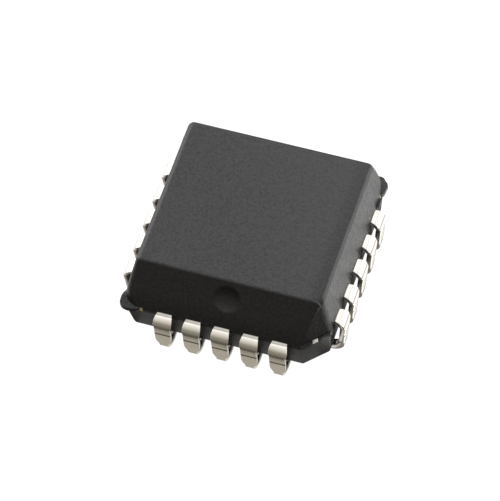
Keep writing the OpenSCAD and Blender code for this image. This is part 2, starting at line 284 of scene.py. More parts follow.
def build_body():
    top_d = upper_offsets(UP)[0]
    flat_d = [top_d[i] - EDGE[i] * math.tan((math.pi / 2 - LEAN[i]) / 2) for i in range(5)]
    flat_r = [0.20, 0.40, 0.24, 0.14, 0.10]
    wall_r = upper_offsets(UP - 0.25)[1]
    rings = []  # each a list of (x, y, z), from the middle of the top down

    def round_ring(t):
        d = [flat_d[i] + EDGE[i] * math.cos(LEAN[i] + t * (math.pi / 2 - LEAN[i])) for i in range(5)]
        r = [a + (b - a) * (1 - t) for a, b in zip(flat_r, wall_r)]
        ring = []
        for st in STATIONS:
            (x, y), n = plan(st, d, r)
            phi = lean_of(st) + t * (math.pi / 2 - lean_of(st))
            ring.append((x, y, TOP - edge_of(st) * (1 - math.sin(phi))))
        return ring

    flat = round_ring(1.0)
    mid = (0.0, 0.42)
    for f in (0.12, 0.3, 0.5, 0.7, 0.86, 0.95, 0.985, 0.996):
        rings.append([(mid[0] + (p[0] - mid[0]) * f, mid[1] + (p[1] - mid[1]) * f, TOP) for p in flat])
    for k in range(13):
        rings.append(round_ring(1.0 - k / 12.0))
    tangent = rings[-1]
    # how far the rounding's last ring lies off the walls, at the corners
    gap = []
    for k, st in enumerate(STATIONS):
        (x, y), n = plan(st, *upper_offsets(tangent[k][2] - ZT))
        gap.append((tangent[k][0] - x, tangent[k][1] - y))
    levels = [0.996, 0.985]
    n_dense = 56
    levels += [0.955 - (0.955 - 0.325) * k / n_dense for k in range(n_dense + 1)]
    levels += [0.27, 0.2, 0.13, 0.07, 0.03, 0.01, 0.0]
    rs = (DIMPLE_R ** 2 + DIMPLE_D ** 2) / (2 * DIMPLE_D)
    nrm = Vector((0.0, -math.cos(BEVEL), math.sin(BEVEL)))
    up = Vector((0.0, math.sin(BEVEL), math.cos(BEVEL)))
    centre = Vector((DIMPLE_X, -HB + DIMPLE_UP * UP * math.tan(BEVEL), ZT + DIMPLE_UP * UP))
    for u in levels:
        ring = []
        for k, st in enumerate(STATIONS):
            h = u * (tangent[k][2] - ZT)
            (x, y), n = plan(st, *upper_offsets(h))
            p = Vector((x + gap[k][0] * u ** 3, y + gap[k][1] * u ** 3, ZT + h))
            if st[0] == "side" and st[1] == 0 and abs(st[2]) < 0.8:
                q = p - centre
                a, b = q.x, q.dot(up)
                rho = math.hypot(a, b)
                if rho < DIMPLE_R + 0.05:
                    # a row of points falls on the rim, and the rim is a little worn
                    if abs(rho - DIMPLE_R) < 0.0125:
                        s = DIMPLE_R / rho
                        a, b, rho = a * s, b * s, DIMPLE_R
                    depth = 0.0
                    if rho < DIMPLE_R:
                        depth = math.sqrt(rs * rs - rho * rho) - (rs - DIMPLE_D)
                    soft = 0.006 * math.exp(-((rho - DIMPLE_R) / 0.02) ** 2)
                    p = centre + Vector((a, 0.0, 0.0)) + up * b - nrm * (depth + soft)
            ring.append(tuple(p))
        rings.append(ring)
    # parting band with a worn edge; the ears' tops are uneven
    band = [band_plan(st) for st in STATIONS]
    inner = [band_plan(st, -0.022) for st in STATIONS]
    half = [band_plan(st, -0.085) if st[0] == "arc" and st[1] >= 2 else band_plan(st, -0.023) for st in STATIONS]

    def sunk(p, st, z):
        if st[0] == "arc" and st[1] >= 2:
            z -= 0.030 * max(0.0, 0.25 + wobble(p[0], p[1], 11.0, 0.22)) * min(1.0, 6 * st[2], 6 * (1 - st[2]))
        return (p[0], p[1], z)

    rings.append([sunk(p, st, ZT - 0.002) for p, st in zip(half, STATIONS)])
    rings.append([sunk(p, st, ZT - 0.004) for p, st in zip(inner, STATIONS)])
    rings.append([sunk((0.3 * q[0] + 0.7 * p[0], 0.3 * q[1] + 0.7 * p[1]), st, ZT - 0.008) for p, q, st in zip(band, inner, STATIONS)])
    rings.append([sunk(p, st, ZT - 0.026) for p, st in zip(band, STATIONS)])
    rings.append([(p[0], p[1], 0.5 * (ZT + ZB)) for p in band])
    rings.append([(p[0], p[1], ZB + 0.020) for p in band])
    rings.append([(p[0], p[1], ZB) for p in inner])
    # lower half
    t = HB - 0.04
    b = t - 0.20
    d_top = [t, 7.83 / SQ2, t, t, t]
    r_top = [0.12, 0.12, 0.24, 0.24, 0.23]
    d_bot = [b, 7.62 / SQ2, b + 0.08, b, b]
    r_bot = [0.12, 0.12, 0.24, 0.24, 0.23]
    tops = [plan(st, d_top, r_top) for st in STATIONS]
    bots = [plan(st, d_bot, r_bot) for st in STATIONS]
    for u in (0.0, 0.02, 0.25, 0.5, 0.75, 0.97, 1.0):
        z = ZB + (BOT + 0.06 - ZB) * u
        rings.append([(p[0] + (q[0] - p[0]) * u, p[1] + (q[1] - p[1]) * u, z) for (p, _), (q, _) in zip(tops, bots)])
    for a in (30, 60, 90):
        a = math.radians(a)
        rings.append([(q[0] - n[0] * 0.06 * (1 - math.cos(a)), q[1] - n[1] * 0.06 * (1 - math.cos(a)), BOT + 0.06 - 0.06 * math.sin(a)) for q, n in bots])

    m = len(STATIONS)
    verts = [(mid[0], mid[1], TOP)]
    for ring in rings:
        verts.extend(ring)
    faces = [(0, 1 + k, 1 + (k + 1) % m) for k in range(m)]
    for r in range(len(rings) - 1):
        a, c = 1 + r * m, 1 + (r + 1) * m
        for k in range(m):
            j = (k + 1) % m
            faces.append((a + k, c + k, c + j, a + j))
    # underside, with a pocket for each lead's tip
    base = 1 + (len(rings) - 1) * m
    loop = [Vector(verts[base + k][:2]) for k in range(m)]
    pts = list(loop)
    ids = [base + k for k in range(m)]
    edges = [(k, (k + 1) % m) for k in range(m)]
    holes = []
    for side in range(4):
        ca, sa = round(math.cos(side * math.pi / 2)), round(math.sin(side * math.pi / 2))
        for k in range(-2, 3):
            def corner_loop(grow, z):
                loop2 = []
                cx, cy, wx, wy, rr = k * PITCH, -3.64, 0.36 + grow, 0.28 + grow, 0.10
                for (sx, sy, a0) in ((1, -1, -90), (1, 1, 0), (-1, 1, 90), (-1, -1, 180)):
                    for q in range(6):
                        a = math.radians(a0 + 90 * q / 5)
                        x = cx + sx * (wx - rr) + rr * math.cos(a)
                        y = cy + sy * (wy - rr) + rr * math.sin(a)
                        loop2.append((ca * x - sa * y, sa * x + ca * y, z))
                return loop2
            loops = [corner_loop(0.03, BOT), corner_loop(0.008, BOT + 0.012), corner_loop(0.0, BOT + 0.035),
                     corner_loop(-0.03, BOT + 0.38), corner_loop(-0.045, BOT + 0.41), corner_loop(-0.075, BOT + 0.42)]
            start = len(verts)
            for lp in loops:
                verts.extend(lp)
            c = len(loops[0])
            for r in range(len(loops) - 1):
                for q in range(c):
                    j = (q + 1) % c
                    faces.append((start + r * c + q, start + (r + 1) * c + q, start + (r + 1) * c + j, start + r * c + j))
            faces.append(tuple(start + (len(loops) - 1) * c + q for q in range(c)))
            first = len(pts)
            pts.extend(Vector(p[:2]) for p in loops[0])
            ids.extend(start + q for q in range(c))
            edges.extend((first + q, first + (q + 1) % c) for q in range(c))
            holes.append([Vector(p[:2]) for p in loops[0]])
    v2, _, f2, v_from, _, _ = delaunay_2d_cdt(pts, edges, [], 0, 1e-7)
    assert len(v2) == len(pts)
    where = [ids[v_from[k][0]] for k in range(len(v2))]

    def inside(p, loop):
        hit = False
        for a, c in zip(loop, loop[1:] + loop[:1]):
            if (a.y > p.y) != (c.y > p.y) and p.x < a.x + (p.y - a.y) * (c.x - a.x) / (c.y - a.y):
                hit = not hit
        return hit

    for f in f2:
        mid2 = (v2[f[0]] + v2[f[1]] + v2[f[2]]) / 3
        if any(inside(mid2, h) for h in holes):
            continue
        tri = [where[k] for k in f]
        a, c, e = (v2[k] for k in f)
        if (c - a).cross(e - a) > 0:
            tri.reverse()
        faces.append(tuple(tri))
    return make_object("moulded_body", verts, faces, 42)


# ------------------------------------------------------------------- leads
SIDE = [0, 0, 0, 1, 1, 1, 1, 1, 2, 2, 2, 2, 2, 3, 3, 3, 3, 3, 0, 0]
STEP = [0, 1, 2, -2, -1, 0, 1, 2, -2, -1, 0, 1, 2, -2, -1, 0, 1, 2, -2, -1]


def lead_path():
    """Middle line of the formed strip: (outward, height, heading)."""
    rc = SHOULDER_R - LEAD_T / 2
    rf = FOOT_R - LEAD_T / 2
    zc = ZT - LEAD_T / 2
    path = []
    # finger inside the moulding
    for r in (2.05, 2.4, 2.9, 3.4, 3.7, 4.0, 4.06, 4.14, 4.25, 4.36, 4.42, 4.445, 4.46):
        path.append((r, zc, 0.0))
    r, z, a = HO - SHOULDER_R, zc, 0.0

    def bend(radius, turn, n):
        nonlocal r, z, a
        for _ in range(n):
            st = turn / n
            chord = 2 * radius * math.sin(abs(st) / 2)
            r += chord * math.cos(a + st / 2)
            z += chord * math.sin(a + st / 2)
            a += st
            path.append((r, z, a))

    def run(length, n):
        nonlocal r, z, a
        for _ in range(n):
            r += length / n * math.cos(a)
            z += length / n * math.sin(a)
            path.append((r, z, a))

    path.append((r, z, a))
    bend(rc, -(math.pi / 2 + LEG_LEAN), 40)
    # straight leg, finely divided around the forming groove
    end = FOOT_R - rf * math.sin(LEG_LEAN)
    for stop, n in ((1.90, 5), (1.78, 12), (1.66, 6), (1.51, 18), (end, 22)):
        run((z - stop) / math.cos(LEG_LEAN), n)
    bend(rf, -(math.pi / 2 - LEG_LEAN + FOOT_TURN), 52)
    run(TIP_L, 6)
    return path


PATH = lead_path()


# Half width of the strip by distance outward on its way out of the
# moulding, then by height from the shoulder down
OUT_W = [(4.46, 0.340), (4.54, 0.355), (4.65, 0.375), (4.74, 0.390), (4.82, 0.405)]
DOWN_W = [(0.60, 0.205), (0.68, 0.230), (0.75, 0.270), (0.84, 0.305), (0.93, 0.335), (1.05, 0.354), (1.52, 0.358), (1.80, 0.354),
          (1.99, 0.350), (2.10, 0.352), (2.17, 0.370), (2.27, 0.405), (2.45, 0.405)]


def between(table, v):
    if v <= table[0][0]:
        return table[0][1]
    for (a, p), (b, q) in zip(table, table[1:]):
        if v < b:
            return p + (q - p) * (v - a) / (b - a)
    return table[-1][1]


def half_width(r, z, a, outside):
    if not outside:
        if r <= 3.7:
            return 0.20 + 0.05 * (r - 2.05) / 1.65
        if r <= 4.0:
            return 0.25
        return 0.25 + 0.09 * min(1.0, (r - 4.0) / 0.14)
    # place on the outer face
    ro, zo = r - math.sin(a) * LEAD_T / 2, z + math.cos(a) * LEAD_T / 2
    if a < -2.0 or ro < 4.3:
        return FOOT_W if zo < 1.0 else LEAD_EXIT_W
    return min(between(OUT_W, ro), between(DOWN_W, zo)) if zo > 2.0 else between(DOWN_W, zo)


def strip_section(w, dip, burr):
    """Rounded section of the stamped strip: across, and out of the strip."""
    h = LEAD_T / 2
    ro, ri = 0.032, 0.022
    v = w - 0.042    # half width on the inner face
    pts = []
    for a in (0, 22.5, 45, 67.5, 90):
        c, s = math.cos(math.radians(a)), math.sin(math.radians(a))
        pts.append((w - ro + ro * c, h - ro + ro * s - dip))
    for f in (0.5, 0.0, -0.5):
        pts.append((f * (w - ro), h - dip))
    for a in (90, 112.5, 135, 157.5, 180):
        c, s = math.cos(math.radians(a)), math.sin(math.radians(a))
        pts.append((-w + ro + ro * c, h - ro + ro * s - dip))
    pts.append((-w - burr, 0.06))
    for a in (180, 225, 270):
        c, s = math.cos(math.radians(a)), math.sin(math.radians(a))
        pts.append((-v + ri + ri * c, -h + ri + ri * s))
    for f in (-0.5, 0.0, 0.5):
        pts.append((f * (v - ri), -h))
    for a in (270, 315, 360):
        c, s = math.cos(math.radians(a)), math.sin(math.radians(a))
        pts.append((v - ri + ri * c, -h + ri + ri * s))
    pts.append((w + burr, 0.06))
    return pts


# how far each row (index side, right, far, left) is pressed in, and its feet
# up, from handling
ROW_IN = [0.0, 0.065, 0.03, 0.0]
ROW_UP = [0.002, 0.06, 0.02, 0.02]
# the index row's bends are also combed a little to the left
ROW_SKEW = [-0.085, 0.0, 0.0, 0.0]


def build_lead(i):
    k = STEP[i]
    angle = SIDE[i] * math.pi / 2
    ca, sa = round(math.cos(angle)), round(math.sin(angle))
    u, v = k * PITCH, k * 0.66
    shift = 0.010 * chance(i, 1)
    twist = 0.006 * chance(i, 2)
    squeeze = 0.006 * (1 + chance(i, 3))
    verts, faces = [], []
    length = 0.0
    prev = None
    rings = 0
    m = None
    first_out = None
    for (r, z, a) in PATH:
        if prev:
            length += math.hypot(r - prev[0], z - prev[1])
        prev = (r, z)
        outside = r >= 4.445 or z < ZB - 0.02 or rings > 14
        if outside and first_out is None:
            first_out = length
        w = half_width(r, z, a, outside)
        dip = 0.0
        if outside:
            s = length - first_out
            # witness line of the clamp beside the moulding
            dip += 0.007 * math.exp(-((s - 0.125) / 0.014) ** 2)
            # marks of the forming tool across the leg: a fine line and a groove
            if r > 4.6:
                dip += 0.006 * math.exp(-((z - GROOVE_Z - 0.105) / 0.011) ** 2) + 0.020 * math.exp(-((z - GROOVE_Z) / 0.019) ** 2)
        rr, zz = r, z
        if outside:
            rr -= squeeze * min(1.0, max(0.0, (ZT - z) / 1.0)) + ROW_IN[SIDE[i]] * min(1.0, max(0.0, (r - 4.46) / 0.42 if z > 2.1 else 1.0))
            zz += ROW_UP[SIDE[i]] * max(0.0, (2.05 - z) / 2.05)
        mid = u
        if not outside or r < 4.4 and rings < 14:
            mid = u if r >= 3.7 else v + (u - v) * (r - 2.05) / 1.65
        mid += shift * (1.0 if r > 4.1 else 0.0) + twist * (ZT - z)
        if outside:
            mid += ROW_SKEW[SIDE[i]] * min(1.0, max(0.0, (2.2 - z) / 1.8)) * min(1.0, max(0.0, (r - 3.5) / 1.1))
        sec = strip_section(w, dip, 0.0015)
        m = len(sec)
        no, nz = -math.sin(a), math.cos(a)   # direction out of the strip
        for (x, t) in sec:
            ro, zo = rr + no * t, zz + nz * t
            px, py = mid + x, -ro
            verts.append((ca * px - sa * py, sa * px + ca * py, zo))
        rings += 1
    for q in range(rings - 1):
        for j in range(m):
            n = (j + 1) % m
            faces.append((q * m + j, q * m + n, (q + 1) * m + n, (q + 1) * m + j))
    # end faces, closed with an inset ring and a flat cap
    for ring, flip in ((0, False), (rings - 1, True)):
        ids = [ring * m + j for j in range(m)]
        c = np.mean([verts[j] for j in ids], axis=0)
        inner = []
        for j in ids:
            verts.append(tuple(c + (np.array(verts[j]) - c) * 0.6))
            inner.append(len(verts) - 1)
        for j in range(m):
            n = (j + 1) % m
            f = (ids[j], inner[j], inner[n], ids[n])
            faces.append(f if flip is False else f[::-1])
        cap = tuple(inner)
        faces.append(cap[::-1] if flip is False else cap)
    # faces are turned outward later, by face_outward
    obj = make_object("lead_strip_%02d" % (i + 1), verts, faces, 38)
    # stamping leaves the inner half of the narrow sides torn and dull, one more
    # than the other; their near-black colour there is painted shade
    edge_shade_attr = obj.data.attributes.new("torn_and_shaded_edge", "FLOAT", "POINT")
    edge_shade_attr.data.foreach_set("value", [0.0 if q >= rings * m else {14: 0.40, 15: 0.40, 16: 0.40, 20: 1.0, 21: 1.0, 22: 1.0}.get(q % m, 0.0) for q in range(len(verts))])
    return obj


def face_outward(obj):
    import bmesh
    bm = bmesh.new()
    bm.from_mesh(obj.data)
    bmesh.ops.recalc_face_normals(bm, faces=bm.faces)
    bm.to_mesh(obj.data)
    bm.free()


# --------------------------------------------------------------- materials
def new_material(name):
    mat = bpy.data.materials.new(name)
    mat.use_nodes = True
    nt = mat.node_tree
    nt.nodes.clear()
    out = nt.nodes.new("ShaderNodeOutputMaterial")
    bsdf = nt.nodes.new("ShaderNodeBsdfPrincipled")
    nt.links.new(bsdf.outputs[0], out.inputs[0])
    return mat, nt, bsdf


def node(nt, kind, **values):
    n = nt.nodes.new(kind)
    for key, val in values.items():
        if hasattr(n, key) and key not in n.inputs:
            setattr(n, key, val)
        else:
            n.inputs[key].default_value = val
    return n


def place(nt, scale=(1000.0, 1000.0, 1000.0)):
    """Object coordinates in millimetres, stretched by scale / 1000."""
    tc = nt.nodes.new("ShaderNodeTexCoord")
    mp = nt.nodes.new("ShaderNodeMapping")
    mp.inputs["Scale"].default_value = scale
    nt.links.new(tc.outputs["Object"], mp.inputs["Vector"])
    return mp.outputs["Vector"]


def noise_tex(nt, vec, scale, detail=2.0, rough=0.5, distort=0.0):
    n = node(nt, "ShaderNodeTexNoise")
    n.inputs["Scale"].default_value = scale
    n.inputs["Detail"].default_value = detail
    n.inputs["Roughness"].default_value = rough
    n.inputs["Distortion"].default_value = distort
    nt.links.new(vec, n.inputs["Vector"])
    return n.outputs["Fac"]


def ramp(nt, fac, stops):
    n = nt.nodes.new("ShaderNodeValToRGB")
    e = n.color_ramp.elements
    while len(e) < len(stops):
        e.new(0.5)
    for el, (pos, col) in zip(e, stops):
        el.position = pos
        el.color = (col[0], col[1], col[2], 1.0) if hasattr(col, "__len__") else (col, col, col, 1.0)
    nt.links.new(fac, n.inputs["Fac"])
    return n.outputs["Color"]


def math_node(nt, op, a, b):
    n = nt.nodes.new("ShaderNodeMath")
    n.operation = op
    for k, v in enumerate((a, b)):
        if isinstance(v, (int, float)):
            n.inputs[k].default_value = v
        else:
            nt.links.new(v, n.inputs[k])
    return n.outputs[0]


def mix_colour(nt, fac, a, b, blend="MIX"):
    n = nt.nodes.new("ShaderNodeMix")
    n.data_type = "RGBA"
    n.blend_type = blend
    for sock, v in ((n.inputs[0], fac), (n.inputs[6], a), (n.inputs[7], b)):
        if isinstance(v, (int, float)):
            sock.default_value = v
        elif isinstance(v, tuple):
            sock.default_value = (v[0], v[1], v[2], 1.0)
        else:
            nt.links.new(v, sock)
    return n.outputs[2]


def bump(nt, height, strength, distance_mm, normal=None):
    n = nt.nodes.new("ShaderNodeBump")
    n.inputs["Strength"].default_value = strength
    n.inputs["Distance"].default_value = distance_mm * MM
    nt.links.new(height, n.inputs["Height"])
    if normal is not None:
        nt.links.new(normal, n.inputs["Normal"])
    return n.outputs["Normal"]


def mould_compound():
    mat, nt, bsdf = new_material("mould_compound")
    vec = place(nt)
    grain = noise_tex(nt, vec, 9.0, 3.0, 0.75)         # spark-eroded mould texture
    coarse = noise_tex(nt, vec, 3.2, 2.0, 0.5)
    cloud = noise_tex(nt, vec, 0.40, 3.0, 0.6)
    streak = noise_tex(nt, place(nt, (1000.0, 1000.0, 170.0)), 7.0, 3.0, 0.6)
    # steep walls carry fine drag marks from leaving the mould
    geo = nt.nodes.new("ShaderNodeNewGeometry")
    sep = nt.nodes.new("ShaderNodeSeparateXYZ")
    nt.links.new(geo.outputs["Normal"], sep.inputs[0])
    up = math_node(nt, "ABSOLUTE", sep.outputs[2], 0.0)
    steep = ramp(nt, up, [(0.25, 1.0), (0.5, 0.0)])
    row = nt.nodes.new("ShaderNodeSeparateXYZ")
    nt.links.new(vec, row.inputs[0])
    # but not the cut corner
    steep = math_node(nt, "MULTIPLY", steep, ramp(nt, math_node(nt, "ADD", math_node(nt, "MULTIPLY", row.outputs[1], 0.1), 0.5), [(0.145, 0.0), (0.18, 1.0)]))
    dark = ramp(nt, cloud, [(0.3, (0.0020, 0.0020, 0.0020)), (0.7, (0.0030, 0.0030, 0.0029))])
    grained = mix_colour(nt, ramp(nt, grain, [(0.36, 0.0), (0.66, 1.0)]), dark, (0.0118, 0.0117, 0.0117))
    # painted light: the top is made lighter, more towards its right and far edges and on its lighter grains
    sepo = nt.nodes.new("ShaderNodeSeparateXYZ")
    nt.links.new(vec, sepo.inputs[0])
    across = math_node(nt, "ADD", math_node(nt, "MULTIPLY", sepo.outputs[0], 0.10), math_node(nt, "MULTIPLY", sepo.outputs[1], 0.07))
    top_light_amount = math_node(nt, "ADD", ramp(nt, math_node(nt, "ADD", across, 0.45), [(0.30, 0.0), (1.0, 0.42)]), ramp(nt, grain, [(0.36, 0.02), (0.65, 0.80)]))
    painted_top_light = math_node(nt, "MULTIPLY", top_light_amount, ramp(nt, up, [(0.72, 0.0), (0.97, 1.0)]))
    grained = mix_colour(nt, painted_top_light, grained, (0.030, 0.030, 0.0302))
    flecks = nt.nodes.new("ShaderNodeTexVoronoi")
    flecks.inputs["Scale"].default_value = 5.0
    nt.links.new(vec, flecks.inputs["Vector"])
    fleck = ramp(nt, flecks.outputs["Distance"], [(0.08, 1.0), (0.20, 0.0)])
    rare = ramp(nt, flecks.outputs["Color"], [(0.88, 0.0), (0.95, 1.0)])
    spots = math_node(nt, "MULTIPLY", fleck, rare)
    nt.links.new(mix_colour(nt, math_node(nt, "MULTIPLY", spots, 0.55), grained, (0.10, 0.10, 0.097)), bsdf.inputs["Base Color"])
    rough = ramp(nt, grain, [(0.3, 0.36), (0.7, 0.46)])
    lined = mix_colour(nt, math_node(nt, "MULTIPLY", steep, ramp(nt, streak, [(0.40, 0.0), (0.66, 0.8)])), rough, (0.32, 0.32, 0.32))
    nt.links.new(lined, bsdf.inputs["Roughness"])
    n1 = bump(nt, grain, 0.75, 0.016)
    n2 = bump(nt, coarse, 0.30, 0.020, n1)
    lines = math_node(nt, "MULTIPLY", streak, steep)
    nt.links.new(bump(nt, lines, 0.75, 0.018, n2), bsdf.inputs["Normal"])
    bsdf.inputs["IOR"].default_value = 1.42
    # painted shade on the steep right wall, beside each lead, made by lowering its specular
    beat = math_node(nt, "COSINE", math_node(nt, "MULTIPLY", math_node(nt, "ADD", sepo.outputs[1], 0.62), 2 * math.pi / PITCH), 0.0)
    beat = math_node(nt, "MULTIPLY", ramp(nt, beat, [(0.15, 0.0), (0.85, 1.0)]), ramp(nt, math_node(nt, "SUBTRACT", sepo.outputs[2], 2.5), [(0.10, 1.0), (0.62, 0.0)]))
    beat = math_node(nt, "MULTIPLY", beat, ramp(nt, math_node(nt, "SUBTRACT", sepo.outputs[0], 4.0), [(0.10, 0.0), (0.20, 1.0)]))
    beat = math_node(nt, "MULTIPLY", beat, ramp(nt, math_node(nt, "MULTIPLY", math_node(nt, "ABSOLUTE", sepo.outputs[1], 0.0), 0.25), [(0.80, 1.0), (0.88, 0.0)]))
    lead_side_shade = math_node(nt, "MULTIPLY", beat, ramp(nt, streak, [(0.3, 0.8), (0.7, 0.5)]))
    # and lower specular, so darker, towards the foot of the index bevel
    foot = math_node(nt, "MULTIPLY", ramp(nt, math_node(nt, "SUBTRACT", sepo.outputs[2], 2.5), [(0.10, 1.0), (0.80, 0.0)]),
                     ramp(nt, math_node(nt, "SUBTRACT", math_node(nt, "MULTIPLY", sepo.outputs[1], -1.0), 3.5), [(0.30, 0.0), (0.60, 1.0)]))
    # painted shade in the upper part of the index dimple: its specular is lowered there
    dx = math_node(nt, "SUBTRACT", sepo.outputs[0], DIMPLE_X)
    dz = math_node(nt, "SUBTRACT", sepo.outputs[2], ZT + DIMPLE_UP * UP)
    db = math_node(nt, "DIVIDE", dz, math.cos(BEVEL))
    rho2 = math_node(nt, "ADD", math_node(nt, "MULTIPLY", dx, dx), math_node(nt, "MULTIPLY", db, db))
    dimple_shade = math_node(nt, "MULTIPLY", ramp(nt, rho2, [(0.26, 1.0), (0.38, 0.0)]), ramp(nt, math_node(nt, "ADD", dz, 0.5), [(0.42, 0.0), (0.68, 1.0)]))
    dimple_shade = math_node(nt, "MULTIPLY", dimple_shade, ramp(nt, math_node(nt, "MULTIPLY", sepo.outputs[1], -0.2), [(0.4, 0.0), (0.5, 1.0)]))
    less = math_node(nt, "ADD", math_node(nt, "MULTIPLY", lead_side_shade, 0.42), math_node(nt, "MULTIPLY", foot, 0.20))
    less = math_node(nt, "ADD", less, math_node(nt, "MULTIPLY", dimple_shade, 0.22))
    # painted shade: lower specular along the top's right rim, and on the right wall near the cut corner
    rim = math_node(nt, "MULTIPLY", ramp(nt, math_node(nt, "SUBTRACT", sepo.outputs[0], 3.2), [(0.08, 0.0), (0.58, 1.0)]), ramp(nt, up, [(0.80, 0.0), (0.95, 1.0)]))
    near = math_node(nt, "MULTIPLY", ramp(nt, math_node(nt, "MULTIPLY", sepo.outputs[1], -0.2), [(0.42, 0.0), (0.68, 1.0)]), ramp(nt, math_node(nt, "SUBTRACT", sepo.outputs[0], 3.6), [(0.30, 0.0), (0.45, 1.0)]))
    less = math_node(nt, "ADD", less, math_node(nt, "ADD", math_node(nt, "MULTIPLY", rim, 0.14), math_node(nt, "MULTIPLY", near, 0.11)))
    less = math_node(nt, "ADD", less, math_node(nt, "MULTIPLY", steep, ramp(nt, grain, [(0.38, 0.17), (0.64, 0.0)])))
    nt.links.new(math_node(nt, "SUBTRACT", 0.5, less), bsdf.inputs["Specular IOR Level"])
    return mat


def tinned_lead():
    mat, nt, bsdf = new_material("tinned_lead")
    vec = place(nt)
    fine = noise_tex(nt, vec, 30.0, 3.0, 0.6)
    cloud = noise_tex(nt, vec, 2.6, 4.0, 0.62)
    scuff = noise_tex(nt, place(nt, (1000.0, 1000.0, 90.0)), 26.0, 3.0, 0.6)
    base = ramp(nt, cloud, [(0.30, (0.75, 0.715, 0.645)), (0.55, (0.80, 0.773, 0.715)), (0.75, (0.84, 0.82, 0.775))])
    # painted shade by height, dark brown: in the groove, and on the drawn outside of the shoulder, strongest just above
    # the crease
    sep = nt.nodes.new("ShaderNodeSeparateXYZ")
    nt.links.new(vec, sep.inputs[0])
    high = math_node(nt, "DIVIDE", sep.outputs[2], 2.8)
    stops = [(1.50, 0.0), (1.54, 0.22), (1.64, 0.22), (1.67, 0.0), (1.77, 0.0), (1.84, 0.26), (1.95, 0.36), (2.10, 0.41), (2.25, 0.25), (2.36, 0.10), (2.46, 0.02), (2.53, 0.0)]
    height_shade = ramp(nt, high, [(z / 2.8, v) for z, v in stops])
    height_shade_amount = math_node(nt, "MULTIPLY", height_shade, ramp(nt, cloud, [(0.25, 1.0), (0.8, 0.7)]))
    shaded_tin = mix_colour(nt, height_shade_amount, base, (0.26, 0.19, 0.075))
    # painted shade: a dark line in the forming groove, and a fainter one on the fine line above it, on the outer faces
    # only
    groove = ramp(nt, high, [((GROOVE_Z + dz) / 2.8, v) for dz, v in ((-0.068, 0.0), (-0.044, 1.0), (0.038, 1.0), (0.056, 0.0))])
    groove = math_node(nt, "MAXIMUM", groove, ramp(nt, high, [((GROOVE_Z + 0.105 + dz) / 2.8, v) for dz, v in ((-0.026, 0.0), (-0.010, 0.55), (0.010, 0.55), (0.026, 0.0))]))
    geo = nt.nodes.new("ShaderNodeNewGeometry")
    nsep = nt.nodes.new("ShaderNodeSeparateXYZ")
    nt.links.new(geo.outputs["True Normal"], nsep.inputs[0])
    faces_out = math_node(nt, "ABSOLUTE", math_node(nt, "ADD", math_node(nt, "MULTIPLY", nsep.outputs[0], sep.outputs[0]), math_node(nt, "MULTIPLY", nsep.outputs[1], sep.outputs[1])), 0.0)
    outer = ramp(nt, math_node(nt, "DIVIDE", faces_out, 5.0), [(0.66, 0.0), (0.84, 1.0)])
    shaded_tin = mix_colour(nt, math_node(nt, "MULTIPLY", groove, outer), shaded_tin, (0.045, 0.036, 0.024))
    # painted shade on the index row's lead tops, beside the moulding, where the dark wall shades them
    index_wall_shade = ramp(nt, math_node(nt, "SUBTRACT", math_node(nt, "MULTIPLY", sep.outputs[1], -1.0), 4.2),
                 [(0.20, 0.0), (0.24, 1.0), (0.31, 0.90), (0.375, 0.80), (0.405, 0.43), (0.44, 0.05), (0.47, 0.0)])
    index_wall_shade = math_node(nt, "MULTIPLY", index_wall_shade, ramp(nt, high, [(0.88, 0.0), (0.92, 1.0)]))
    shaded_tin = mix_colour(nt, index_wall_shade, shaded_tin, (0.25, 0.238, 0.215))
    # painted shade on the right row's lead tops, beside the moulding, where the dark wall shades them
    right = math_node(nt, "SUBTRACT", sep.outputs[0], 4.2)
    right_wall_shade = math_node(nt, "MULTIPLY", ramp(nt, right, [(0.20, 0.0), (0.24, 0.44), (0.55, 0.40), (0.62, 0.0)]), ramp(nt, high, [(0.88, 0.0), (0.92, 1.0)]))
    shaded_tin = mix_colour(nt, right_wall_shade, shaded_tin, (0.25, 0.242, 0.225))
    # painted shade along the outer bend of the right row's shoulders
    line = math_node(nt, "MULTIPLY", ramp(nt, right, [(0.58, 0.0), (0.62, 1.0)]), ramp(nt, high, [(z / 2.8, v) for z, v in ((2.24, 0.0), (2.28, 0.8), (2.36, 0.8), (2.40, 0.0))]))
    lined = mix_colour(nt, line, shaded_tin, (0.16, 0.145, 0.12))
    # torn inner edges of the narrow sides: a real fracture zone, with near-black colour that is painted shade
    edge_shade_attr = nt.nodes.new("ShaderNodeAttribute")
    edge_shade_attr.attribute_name = "torn_and_shaded_edge"
    edge_shade_mix = ramp(nt, edge_shade_attr.outputs["Fac"], [(0.22, 0.0), (0.52, 0.92)])
    nt.links.new(mix_colour(nt, edge_shade_mix, lined, (0.040, 0.036, 0.030)), bsdf.inputs["Base Color"])
    rough = ramp(nt, scuff, [(0.3, 0.19), (0.7, 0.29)])
    nt.links.new(rough, bsdf.inputs["Roughness"])
    bsdf.inputs["Metallic"].default_value = 1.0
    n1 = bump(nt, fine, 0.25, 0.006)
    n2 = bump(nt, scuff, 0.35, 0.005, n1)
    nt.links.new(n2, bsdf.inputs["Normal"])
    return mat


def plain_metal(name, dark, light, rough_lo, rough_hi, grain, metallic=1.0):
    mat, nt, bsdf = new_material(name)
    vec = place(nt)
    cloud = noise_tex(nt, vec, grain, 4.0, 0.6)
    fine = noise_tex(nt, vec, grain * 12, 2.0, 0.6)
    nt.links.new(ramp(nt, cloud, [(0.3, dark), (0.7, light)]), bsdf.inputs["Base Color"])
    nt.links.new(ramp(nt, fine, [(0.3, rough_lo), (0.7, rough_hi)]), bsdf.inputs["Roughness"])
    bsdf.inputs["Metallic"].default_value = metallic
    nt.links.new(bump(nt, fine, 0.25, 0.004), bsdf.inputs["Normal"])
    return mat


